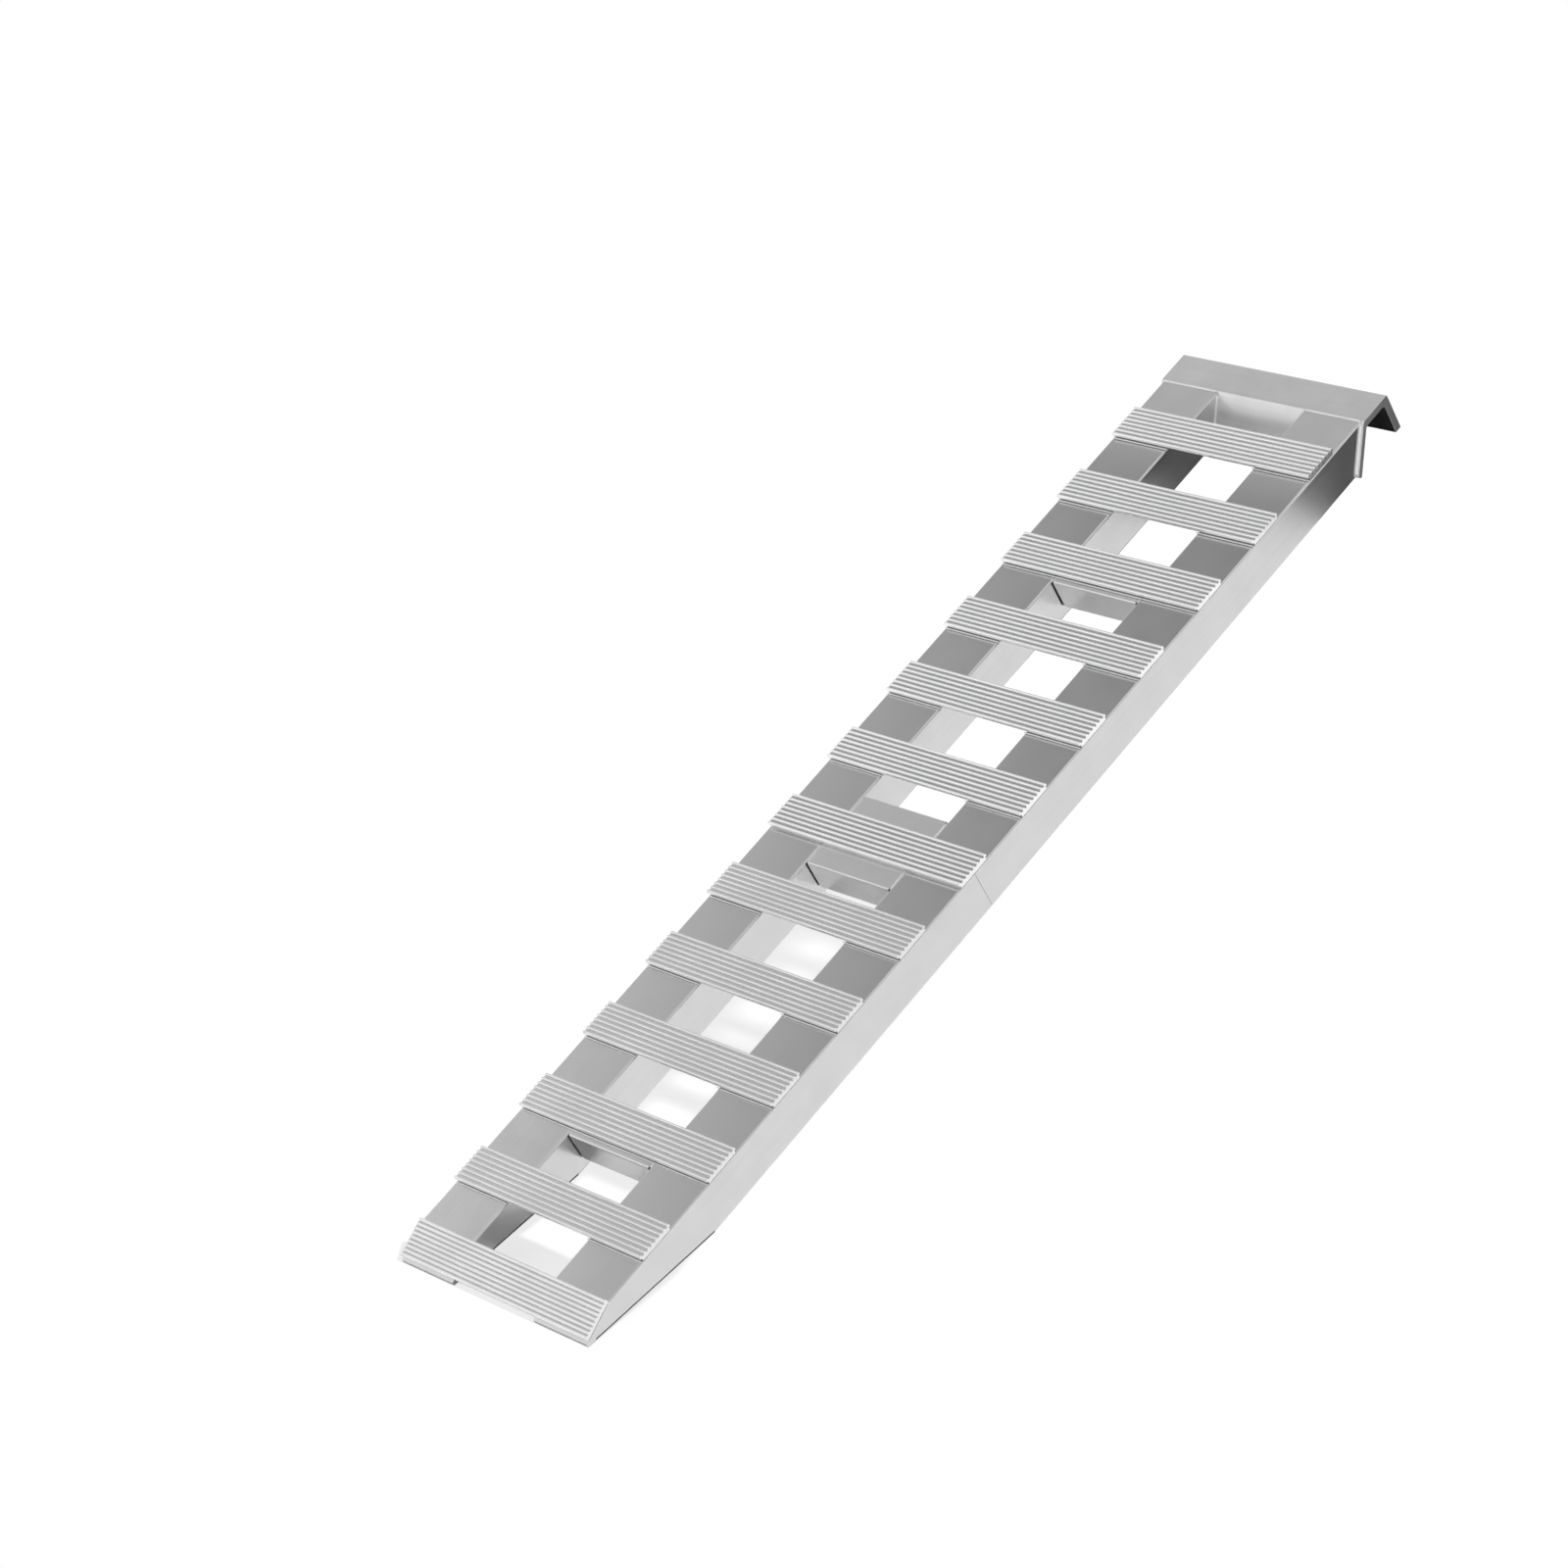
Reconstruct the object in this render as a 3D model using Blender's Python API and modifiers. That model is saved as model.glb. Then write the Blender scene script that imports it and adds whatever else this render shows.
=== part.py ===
"""Hook-end aluminium loading ramp that folds at mid-length.

Two welded halves, each a pair of box rails with ridged rungs on top, meet under
the middle rung. A butt hinge between their end tubes lets the lower half swing
down and back until the two undersides lie together. Metres, +Z up. +Y runs up
the ramp to the hook and X across it; the origin is the centre of the footprint.
"""

from math import acos, atan2, cos, hypot, pi, sin, tan

import bmesh
import bpy
from mathutils import Matrix, Vector

MM = 0.001

# Overall layout
DECK_WIDTH = 378 * MM  # across the two rails
RUNG_PITCH = 136 * MM
RUNGS_ABOVE_FOLD = 6
RUNGS_BELOW_FOLD = 5
FIRST_OPENING = 67 * MM  # seam behind the hook to the first rung
LAST_OPENING = 68 * MM  # last rung to the start of the sloping nose

# Rails: rectangular tubes
RAIL_WIDTH = 106.5 * MM
RAIL_DEPTH = 64 * MM
RAIL_WALL = 4 * MM
RAIL_CORNER = 3 * MM
NOSE_RUN = 58 * MM  # start of the sloping nose to the rail tips
NOSE_DROP = 20 * MM  # deck down to the top of the rail tips
TIP_THICKNESS = 5.5 * MM  # height of the front face of each rail tip
TIP_CLOSURE = 14 * MM  # solid end of each rail tip, in front of the pad
CHAMFER_RUN = 234 * MM  # heel of the ground chamfer to the rail tips

# Rungs and foot tread
RUNG_BASE = 6.2 * MM
RIDGE_COUNT = 8
RIDGE_PITCH = 7.9 * MM
RIDGE_FOOT = 4.7 * MM
RIDGE_TOP = 3.3 * MM
RIDGE_HEIGHT = 3 * MM
RUNG_INSET = 0.5 * MM  # rung end to the rail's outer side
UNDERCUT_DEPTH = 2.5 * MM  # recess along each lower edge of a rung, for its weld
UNDERCUT_HEIGHT = 4.2 * MM
FOOT_TREAD_BASE = 5 * MM
FOOT_RIDGE_COUNT = 9
FOOT_RIDGE_PITCH = 6.4 * MM
FOOT_RIDGE_FOOT = 5.2 * MM
FOOT_RIDGE_TOP = 4.2 * MM
FOOT_RIDGE_HEIGHT = 2.5 * MM

# Cross tubes between the rails
TUBE_DEPTH = 50 * MM
TUBE_WIDTH = 62 * MM
TUBE_WALL = 4 * MM
TUBE_CORNER = 3 * MM
TUBE_LEAD = 10.5 * MM  # how far a tube shows in front of its rung
TUBE_END_GAP = 3 * MM  # tube end to rail, bridged by weld
UPPER_TUBE_RUNG = 3
LOWER_TUBE_RUNG = 11
FOLD_TUBE_REACH = 66.5 * MM  # fold line to the far side of each fold tube

# Hook plate: one section with a leaning end plate, a level leg and a lip
HOOK_OVERHANG = 4.5 * MM  # past the rails at each side
HOOK_LEG = 58 * MM
HOOK_LEG_THICKNESS = 11 * MM
LIP_DEPTH = 62 * MM
LIP_THICKNESS = 12.5 * MM
LIP_OUTER_RADIUS = 3 * MM
LIP_INNER_RADIUS = 5 * MM
END_PLATE_THICKNESS = 8 * MM
END_PLATE_LEAN = 38 * pi / 180  # off square to the deck
BEND_OUTER_RADIUS = 9 * MM
BEND_INNER_RADIUS = 6 * MM

# Hinge at the fold
HINGE_SIDE_GAP = 10 * MM  # hinge end to the rail's inner side
KNUCKLE_COUNT = 5
KNUCKLE_RADIUS = 4.5 * MM
PIN_RADIUS = 2.5 * MM
PIN_HEAD_RADIUS = 4 * MM
PIN_HEAD_HEIGHT = 2 * MM
LEAF_THICKNESS = 3 * MM
LEAF_TOP_MARGIN = 6 * MM  # deck down to the leaf's top edge
AXIS_DROP = 0.5 * MM  # hinge axis below the rails
SCREW_HEAD_RADIUS = 4.4 * MM
SCREW_HEAD_HEIGHT = 2 * MM
SCREW_SHANK_RADIUS = 2.4 * MM
SCREW_LENGTH = 14 * MM
SOCKET_ACROSS = 3 * MM  # hexagon socket in a screw head, across its flats
SOCKET_DEPTH = 2.2 * MM
SCREW_EDGE_MARGIN = 15 * MM  # screw to the leaf's end and to the tube's edges
SCREW_RECESS = 0.15 * MM

# Foot pads
PAD_THICKNESS = 3 * MM
PAD_INSET = 1 * MM  # pad edge to the rail's side

# Clearances
SEAT_GAP = 0.3 * MM  # between pieces that are welded or bedded together
FOLD_GAP = 0.4 * MM  # between the two halves' rail ends
LEAF_GAP = 1 * MM  # between the closed hinge leaves
KNUCKLE_GAP = 0.4 * MM
PIN_GAP = 0.15 * MM
SCREW_GAP = 0.3 * MM

ARC_STEPS = 4
ROUND_STEPS = 20
CUT_MARGIN = 40 * MM
MERGE_DISTANCE = 0.001 * MM

# Levels and places that follow from the sizes above
RAIL_BOTTOM = max(END_PLATE_THICKNESS * sin(END_PLATE_LEAN), AXIS_DROP + KNUCKLE_RADIUS)
DECK = RAIL_BOTTOM + RAIL_DEPTH
RUNG_WIDTH = (RIDGE_COUNT - 1) * RIDGE_PITCH + RIDGE_FOOT
RUNG_LENGTH = DECK_WIDTH - 2 * RUNG_INSET
SEAM_REACH = RUNGS_ABOVE_FOLD * RUNG_PITCH + RUNG_WIDTH / 2 + FIRST_OPENING
NOSE_REACH = RUNGS_BELOW_FOLD * RUNG_PITCH + RUNG_WIDTH / 2 + LAST_OPENING
TIP_REACH = NOSE_REACH + NOSE_RUN
HEEL_REACH = TIP_REACH - CHAMFER_RUN
FOOT_TREAD_WIDTH = (FOOT_RIDGE_COUNT - 1) * FOOT_RIDGE_PITCH + FOOT_RIDGE_FOOT
FOOT_TREAD_HEIGHT = FOOT_TREAD_BASE + FOOT_RIDGE_HEIGHT
RAIL_X = (DECK_WIDTH - RAIL_WIDTH) / 2
OPENING = DECK_WIDTH - 2 * RAIL_WIDTH
HINGE_LENGTH = OPENING - 2 * HINGE_SIDE_GAP
NOSE_SLOPE = atan2(NOSE_DROP, NOSE_RUN)
TIP_BOTTOM = DECK - NOSE_DROP - TIP_THICKNESS
CHAMFER_SLOPE = atan2(TIP_BOTTOM - RAIL_BOTTOM, CHAMFER_RUN)
FOOT_END = (
    NOSE_REACH
    + (SEAT_GAP + FOOT_TREAD_WIDTH) * cos(NOSE_SLOPE)
    + (SEAT_GAP + FOOT_TREAD_HEIGHT) * sin(NOSE_SLOPE)
)
HOOK_END = SEAM_REACH + HOOK_LEG
FOLD_Y = (max(FOOT_END, TIP_REACH) - HOOK_END) / 2
AXIS_Z = RAIL_BOTTOM - AXIS_DROP
LEAF_FACE = LEAF_GAP / 2
LEAF_BACK = LEAF_FACE + LEAF_THICKNESS
FOLD_TUBE_FACE = LEAF_BACK + SEAT_GAP

# An outline across the ramp is drawn in Y and Z and extruded along X, one along
# the ramp is drawn in X and Z and extruded along Y.
ACROSS = Matrix(((0, 0, 1), (1, 0, 0), (0, 1, 0)))
ALONG = Matrix(((1, 0, 0), (0, 0, -1), (0, 1, 0)))

ALUMINIUM = ((0.62, 0.63, 0.64), 0.34, 1.0)
BRIGHT_ALUMINIUM = ((0.76, 0.77, 0.78), 0.28, 1.0)
STEEL = ((0.46, 0.47, 0.49), 0.36, 1.0)
RUBBER = ((0.03, 0.03, 0.03), 0.8, 0.0)


def clear_scene():
    """Remove the objects that the scene starts with."""
    for obj in list(bpy.data.objects):
        bpy.data.objects.remove(obj, do_unlink=True)


def new_collection(name):
    """Add a collection to the scene."""
    collection = bpy.data.collections.new(name)
    bpy.context.scene.collection.children.link(collection)
    return collection


def new_empty(name, location):
    """Add the empty that carries one half of the ramp."""
    empty = bpy.data.objects.new(name, None)
    empty.location = location
    PARTS.objects.link(empty)
    return empty


def finish(obj, look):
    """Give a piece its own Principled material."""
    colour, roughness, metallic = look
    material = bpy.data.materials.new(obj.name)
    material.use_nodes = True
    shader = material.node_tree.nodes["Principled BSDF"]
    shader.inputs["Base Color"].default_value = (*colour, 1)
    shader.inputs["Roughness"].default_value = roughness
    shader.inputs["Metallic"].default_value = metallic
    obj.data.materials.clear()
    obj.data.materials.append(material)


def arc(centre, radius, start, end, steps=ARC_STEPS):
    """Points on a circle, from one angle to another."""
    angles = [start + (end - start) * step / steps for step in range(steps + 1)]
    return [(centre[0] + radius * cos(a), centre[1] + radius * sin(a)) for a in angles]


def rounded_box(width, height, radius):
    """Outline of a rectangle about the origin with round corners."""
    right = width / 2 - radius
    top = height / 2 - radius
    centres = ((right, top), (-right, top), (-right, -top), (right, -top))
    points = []
    for quarter, centre in enumerate(centres):
        points += arc(centre, radius, quarter * pi / 2, (quarter + 1) * pi / 2)
    return points


def tube_outline(width, height, wall, corner):
    """Outer and inner outline of a rectangular tube."""
    inner_corner = max(corner - wall, wall / 4)
    return [
        rounded_box(width, height, corner),
        rounded_box(width - 2 * wall, height - 2 * wall, inner_corner),
    ]


def extruded_mesh(name, outlines, length):
    """Closed mesh of a flat outline, its holes included, extruded about its plane."""
    curve = bpy.data.curves.new(name, "CURVE")
    curve.dimensions = "2D"
    curve.fill_mode = "BOTH"
    curve.extrude = length / 2
    for points in outlines:
        spline = curve.splines.new("POLY")
        spline.points.add(len(points) - 1)
        spline.use_cyclic_u = True
        for point, (across, up) in zip(spline.points, points):
            point.co = (across, up, 0, 1)
    source = bpy.data.objects.new(name, curve)
    bpy.context.scene.collection.objects.link(source)
    graph = bpy.context.evaluated_depsgraph_get()
    mesh = bpy.data.meshes.new_from_object(source.evaluated_get(graph))
    bpy.data.objects.remove(source, do_unlink=True)
    bpy.data.curves.remove(curve)
    work = bmesh.new()
    work.from_mesh(mesh)
    bmesh.ops.remove_doubles(work, verts=work.verts, dist=MERGE_DISTANCE)
    bmesh.ops.dissolve_degenerate(work, edges=work.edges, dist=MERGE_DISTANCE)
    bmesh.ops.recalc_face_normals(work, faces=work.faces)
    work.to_mesh(mesh)
    work.free()
    mesh.name = name
    return mesh


def turned_mesh(name, profile):
    """Open profile for a Screw modifier, from the top of the axis to its bottom."""
    mesh = bpy.data.meshes.new(name)
    points = [(radius, 0, height) for radius, height in profile]
    edges = [(i, i + 1) for i in range(len(points) - 1)]
    mesh.from_pydata(points, edges, [])
    return mesh


def add_screw_modifier(obj):
    """Turn a profile into a solid."""
    turn = obj.modifiers.new("Turned", "SCREW")
    turn.steps = ROUND_STEPS
    turn.render_steps = ROUND_STEPS
    turn.use_merge_vertices = True
    turn.merge_threshold = MERGE_DISTANCE
    turn.use_smooth_shade = False


def place(obj, collection, location, turn, parent=None):
    """Put an object at a world place, carried by one half of the ramp."""
    collection.objects.link(obj)
    world = Matrix.Translation(location) @ turn.to_4x4()
    if parent:
        obj.parent = parent
        obj.matrix_parent_inverse = Matrix.Translation(-parent.location)
    obj.matrix_basis = world
    return obj


def piece(name, mesh, half, look, location, turn=ACROSS):
    """Add one named part."""
    obj = place(bpy.data.objects.new(name, mesh), PARTS, location, turn, half)
    finish(obj, look)
    return obj


def cutter(name, mesh, location, turn=ACROSS):
    """Add a hidden shape for a cut."""
    obj = place(bpy.data.objects.new(name, mesh), CUTTERS, location, turn)
    obj.hide_render = True
    obj.display_type = "WIRE"
    return obj


def cut(obj, *cutters):
    """Subtract cutters from a part."""
    for tool in cutters:
        boolean = obj.modifiers.new(tool.name, "BOOLEAN")
        boolean.operation = "DIFFERENCE"
        boolean.solver = "EXACT"
        boolean.object = tool


def at(reach, height, x=0.0):
    """World place from a distance up the ramp from the fold line."""
    return Vector((x, FOLD_Y + reach, height))


def rung_place(number):
    """Distance of a rung's centre up the ramp from the fold line."""
    return (RUNGS_ABOVE_FOLD + 1 - number) * RUNG_PITCH


def bar_outline(half):
    """Lower edges of a tread's section, from left to right, foot at zero."""
    return [(-half, 0), (half, 0)]


def undercut_bar_outline(half):
    """Lower edges of a tread's section with a recess at each side."""
    inner = half - UNDERCUT_DEPTH
    right = [(inner, 0), (inner, UNDERCUT_HEIGHT), (half, UNDERCUT_HEIGHT)]
    return [(-y, z) for y, z in reversed(right)] + right


def tread_outline(bar, base, count, pitch, foot, top, height):
    """Section of a ridged tread: a bar with trapezoid ridges on it."""
    points = bar(((count - 1) * pitch + foot) / 2)
    for ridge in reversed(range(count)):
        centre = (ridge - (count - 1) / 2) * pitch
        points += [
            (centre + foot / 2, base),
            (centre + top / 2, base + height),
            (centre - top / 2, base + height),
            (centre - foot / 2, base),
        ]
    return points


def end_cut_outline():
    """Section of the space taken by the end plate and what lies beyond it."""
    run = SEAT_GAP / cos(END_PLATE_LEAN)
    low = -(RAIL_DEPTH + CUT_MARGIN) * tan(END_PLATE_LEAN)
    high = CUT_MARGIN * tan(END_PLATE_LEAN)
    far = high + CUT_MARGIN
    return [
        (low - run, -RAIL_DEPTH - CUT_MARGIN),
        (far, -RAIL_DEPTH - CUT_MARGIN),
        (far, CUT_MARGIN),
        (high - run, CUT_MARGIN),
    ]


def hook_plate_outline():
    """Section of the hook plate, from where its inner face would meet the deck."""
    lean = END_PLATE_LEAN
    inner_low = Vector((-sin(lean), -cos(lean))) * RAIL_DEPTH / cos(lean)
    outer_low = inner_low + Vector((cos(lean), -sin(lean))) * END_PLATE_THICKNESS
    below = HOOK_LEG_THICKNESS + BEND_INNER_RADIUS
    hollow = ((END_PLATE_THICKNESS + BEND_INNER_RADIUS) / cos(lean) - below * tan(lean), -below)
    lip_y = HOOK_LEG - LIP_THICKNESS
    fillet = (lip_y - LIP_INNER_RADIUS, -HOOK_LEG_THICKNESS - LIP_INNER_RADIUS)
    corner = (HOOK_LEG - LIP_OUTER_RADIUS, -LIP_OUTER_RADIUS)
    bend = (BEND_OUTER_RADIUS * tan((pi / 2 - lean) / 2), -BEND_OUTER_RADIUS)
    points = [tuple(inner_low), tuple(outer_low)]
    points += arc(hollow, BEND_INNER_RADIUS, pi - lean, pi / 2)
    points += arc(fillet, LIP_INNER_RADIUS, pi / 2, 0)
    points += [(lip_y, -LIP_DEPTH), (HOOK_LEG, -LIP_DEPTH)]
    points += arc(corner, LIP_OUTER_RADIUS, 0, pi / 2)
    points += arc(bend, BEND_OUTER_RADIUS, pi / 2, pi - lean)
    return points


def nose_cut_outline():
    """Section above the sloping nose, from the start of the slope."""
    rise = CUT_MARGIN * tan(NOSE_SLOPE)
    run = NOSE_RUN + CUT_MARGIN
    return [(CUT_MARGIN, rise), (-run, -run * tan(NOSE_SLOPE)), (-run, CUT_MARGIN + rise)]


def chamfer_points(offset, heel_gap, tip_run):
    """Two points at a distance above the ground chamfer: above its heel and tip end."""
    along = Vector((-cos(CHAMFER_SLOPE), sin(CHAMFER_SLOPE)))
    above = Vector((sin(CHAMFER_SLOPE), cos(CHAMFER_SLOPE)))
    length = hypot(CHAMFER_RUN, TIP_BOTTOM - RAIL_BOTTOM)
    heel = above * offset - along * heel_gap
    tip = above * offset + along * (length + tip_run)
    return tuple(heel), tuple(tip)


def pad_outline():
    """Section of a foot pad, from the heel of the chamfer to the solid rail tip."""
    end = -TIP_CLOSURE - SEAT_GAP
    heel, tip = chamfer_points(0, 0, end)
    heel_top, tip_top = chamfer_points(PAD_THICKNESS, 0, end)
    return [tip, heel, heel_top, tip_top]


def chamfer_cut_outline():
    """Section of the space under the rail that the pad and the ground take."""
    offset = PAD_THICKNESS + SEAT_GAP
    heel, step_top = chamfer_points(offset, SEAT_GAP, -TIP_CLOSURE)
    _, step = chamfer_points(0, SEAT_GAP, -TIP_CLOSURE)
    _, tip = chamfer_points(0, SEAT_GAP, CUT_MARGIN)
    low_heel, _ = chamfer_points(-CUT_MARGIN, SEAT_GAP, CUT_MARGIN)
    return [tip, (tip[0], -CUT_MARGIN), low_heel, heel, step_top, step]


def leaf_outlines(side):
    """Section of a hinge leaf about the hinge axis, with its pin bore.

    side is +1 for the upper half's leaf and -1 for the lower half's.
    """
    top = DECK - LEAF_TOP_MARGIN - AXIS_Z
    start = acos(LEAF_FACE / KNUCKLE_RADIUS)
    end = 2 * pi + acos(min(LEAF_BACK / KNUCKLE_RADIUS, 1))
    barrel = arc((0, 0), KNUCKLE_RADIUS, start, end, ROUND_STEPS)
    outer = [(LEAF_BACK, top), (LEAF_FACE, top)] + barrel
    bore = arc((0, 0), PIN_RADIUS + PIN_GAP, 0, 2 * pi, ROUND_STEPS)[:-1]
    return [[(side * y, z) for y, z in points] for points in (outer, bore)]


def screw_profile(gap=0.0, lift=0.0):
    """Profile of a countersunk screw, head up, grown by a gap and with its head raised."""
    head = SCREW_HEAD_RADIUS + gap
    shank = SCREW_SHANK_RADIUS + gap
    return [
        (0, lift),
        (head, lift),
        (head, -gap / 2),
        (shank, -SCREW_HEAD_HEIGHT - gap / 2),
        (shank, -SCREW_LENGTH - gap),
        (0, -SCREW_LENGTH - gap),
    ]


def socket_outline():
    """Outline of the hexagon socket in a screw's head."""
    return arc((0, 0), SOCKET_ACROSS / 2 / cos(pi / 6), 0, 2 * pi, 6)[:-1]


def pin_profile():
    """Profile of the hinge pin with its two riveted heads, centred on its length."""
    end = HINGE_LENGTH / 2 + KNUCKLE_GAP
    edge = PIN_HEAD_HEIGHT / 3
    upper = [
        (0, end + PIN_HEAD_HEIGHT),
        (PIN_HEAD_RADIUS - edge, end + PIN_HEAD_HEIGHT),
        (PIN_HEAD_RADIUS, end + PIN_HEAD_HEIGHT - edge),
        (PIN_HEAD_RADIUS, end),
        (PIN_RADIUS, end),
    ]
    return upper + [(radius, -height) for radius, height in reversed(upper)]


def make_rails(upper, lower):
    """The four rails: cut to the end plate at the hook, to a solid nose at the foot."""
    section = tube_outline(RAIL_WIDTH, RAIL_DEPTH, RAIL_WALL, RAIL_CORNER)
    outside, inside = section
    hollow_reach = TIP_REACH - TIP_CLOSURE
    wide = DECK_WIDTH + CUT_MARGIN
    end_cut = cutter(
        "end_cut", extruded_mesh("end_cut", [end_cut_outline()], wide), at(SEAM_REACH, DECK)
    )
    nose_cut = cutter(
        "nose_cut", extruded_mesh("nose_cut", [nose_cut_outline()], wide), at(-NOSE_REACH, DECK)
    )
    chamfer_cut = cutter(
        "chamfer_cut",
        extruded_mesh("chamfer_cut", [chamfer_cut_outline()], wide),
        at(-HEEL_REACH, RAIL_BOTTOM),
    )
    middle = RAIL_BOTTOM + RAIL_DEPTH / 2
    butt = FOLD_GAP / 2
    for side, x in (("left", -RAIL_X), ("right", RAIL_X)):
        mesh = extruded_mesh("upper_rail", section, SEAM_REACH - butt)
        place_mid = at((SEAM_REACH + butt) / 2, middle, x)
        cut(piece(f"upper_rail_{side}", mesh, upper, ALUMINIUM, place_mid, ALONG), end_cut)
        mesh = extruded_mesh("lower_rail", [outside], TIP_REACH - butt)
        place_mid = at(-(TIP_REACH + butt) / 2, middle, x)
        rail = piece(f"lower_rail_{side}", mesh, lower, ALUMINIUM, place_mid, ALONG)
        mesh = extruded_mesh("rail_hollow", [inside], hollow_reach + CUT_MARGIN)
        hollow_mid = at((CUT_MARGIN - hollow_reach) / 2, middle, x)
        hollow = cutter(f"rail_hollow_{side}", mesh, hollow_mid, ALONG)
        cut(rail, hollow, nose_cut, chamfer_cut)


def make_hook(upper):
    """The hook plate, which closes the rails and hooks over a tailgate."""
    mesh = extruded_mesh("hook_plate", [hook_plate_outline()], DECK_WIDTH + 2 * HOOK_OVERHANG)
    piece("hook_plate", mesh, upper, ALUMINIUM, at(SEAM_REACH, DECK))


def make_treads(upper, lower):
    """The rungs across the deck, and the foot tread on the nose."""
    section = tread_outline(
        undercut_bar_outline,
        RUNG_BASE,
        RIDGE_COUNT,
        RIDGE_PITCH,
        RIDGE_FOOT,
        RIDGE_TOP,
        RIDGE_HEIGHT,
    )
    middle_rung = RUNGS_ABOVE_FOLD + 1
    for number in range(1, middle_rung + RUNGS_BELOW_FOLD + 1):
        half = upper if number <= middle_rung else lower
        mesh = extruded_mesh("rung", [section], RUNG_LENGTH)
        spot = at(rung_place(number), DECK + SEAT_GAP)
        piece(f"rung_{number:02d}", mesh, half, BRIGHT_ALUMINIUM, spot)
    section = tread_outline(
        bar_outline,
        FOOT_TREAD_BASE,
        FOOT_RIDGE_COUNT,
        FOOT_RIDGE_PITCH,
        FOOT_RIDGE_FOOT,
        FOOT_RIDGE_TOP,
        FOOT_RIDGE_HEIGHT,
    )
    mesh = extruded_mesh("foot_tread", [section], RUNG_LENGTH)
    middle = SEAT_GAP + FOOT_TREAD_WIDTH / 2
    reach = NOSE_REACH + middle * cos(NOSE_SLOPE) + SEAT_GAP * sin(NOSE_SLOPE)
    height = DECK - middle * sin(NOSE_SLOPE) + SEAT_GAP * cos(NOSE_SLOPE)
    slope = Matrix.Rotation(NOSE_SLOPE, 3, "X")
    piece("foot_tread", mesh, lower, BRIGHT_ALUMINIUM, at(-reach, height), slope @ ACROSS)


def make_tubes(upper, lower):
    """Two cross tubes and the two fold tubes that face each other at the fold."""
    length = OPENING - 2 * TUBE_END_GAP
    section = tube_outline(TUBE_WIDTH, TUBE_DEPTH, TUBE_WALL, TUBE_CORNER)
    height = DECK - TUBE_DEPTH / 2
    ahead = TUBE_WIDTH / 2 - RUNG_WIDTH / 2 - TUBE_LEAD
    for name, rung, half in (
        ("upper_cross_tube", UPPER_TUBE_RUNG, upper),
        ("lower_cross_tube", LOWER_TUBE_RUNG, lower),
    ):
        mesh = extruded_mesh(name, section, length)
        piece(name, mesh, half, ALUMINIUM, at(rung_place(rung) + ahead, height))
    width = FOLD_TUBE_REACH - FOLD_TUBE_FACE
    section = tube_outline(width, TUBE_DEPTH, TUBE_WALL, TUBE_CORNER)
    middle = (FOLD_TUBE_REACH + FOLD_TUBE_FACE) / 2
    tubes = []
    for name, side, half in (("upper_fold_tube", 1, upper), ("lower_fold_tube", -1, lower)):
        mesh = extruded_mesh(name, section, length)
        tubes.append(piece(name, mesh, half, ALUMINIUM, at(side * middle, height)))
    return tubes


def make_hinge(upper, lower, fold_tubes):
    """The butt hinge between the fold tubes: two leaves, their screws and the pin."""
    share = HINGE_LENGTH / KNUCKLE_COUNT
    reach = KNUCKLE_RADIUS + KNUCKLE_GAP
    notch = rounded_box(2 * reach, 2 * reach, KNUCKLE_GAP)
    row_x = HINGE_LENGTH / 2 - SCREW_EDGE_MARGIN
    rows = (DECK - SCREW_EDGE_MARGIN, DECK - TUBE_DEPTH + SCREW_EDGE_MARGIN)
    spots = [(x, z) for z in rows for x in (-row_x, row_x)]
    halves = (("upper", 1, upper, fold_tubes[0]), ("lower", -1, lower, fold_tubes[1]))
    for order, (half_name, side, half, tube) in enumerate(halves):
        mesh = extruded_mesh("hinge_leaf", leaf_outlines(side), HINGE_LENGTH)
        leaf = piece(f"hinge_leaf_{half_name}", mesh, half, STEEL, at(0, AXIS_Z))
        for knuckle in range(1 - order, KNUCKLE_COUNT, 2):
            x = (knuckle - (KNUCKLE_COUNT - 1) / 2) * share
            name = f"notch_{half_name}_{knuckle}"
            mesh = extruded_mesh(name, [notch], share + 2 * KNUCKLE_GAP)
            cut(leaf, cutter(name, mesh, at(0, AXIS_Z, x)))
        facing = Matrix.Rotation(side * pi / 2, 3, "X")
        face = side * (LEAF_FACE + SCREW_RECESS)
        for number, (x, z) in enumerate(spots, 1):
            name = f"hinge_screw_{half_name}_{number}"
            spot = at(face, z, x)
            bore = turned_mesh(name, screw_profile(SCREW_GAP, SCREW_RECESS + LEAF_GAP))
            hole = cutter(f"hole_{half_name}_{number}", bore, spot, facing)
            add_screw_modifier(hole)
            cut(leaf, hole)
            cut(tube, hole)
            screw = piece(name, turned_mesh(name, screw_profile()), half, STEEL, spot, facing)
            add_screw_modifier(screw)
            mesh = extruded_mesh(name, [socket_outline()], 2 * SOCKET_DEPTH)
            cut(screw, cutter(f"socket_{half_name}_{number}", mesh, spot, facing))
    mesh = turned_mesh("hinge_pin", pin_profile())
    crosswise = Matrix.Rotation(pi / 2, 3, "Y")
    pin = piece("hinge_pin", mesh, upper, STEEL, at(0, AXIS_Z), crosswise)
    add_screw_modifier(pin)


def make_pads(lower):
    """The pads that close the chamfered cut under the rail tips."""
    for side, x in (("left", -RAIL_X), ("right", RAIL_X)):
        mesh = extruded_mesh("foot_pad", [pad_outline()], RAIL_WIDTH - 2 * PAD_INSET)
        piece(f"foot_pad_{side}", mesh, lower, RUBBER, at(-HEEL_REACH, RAIL_BOTTOM, x))


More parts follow.
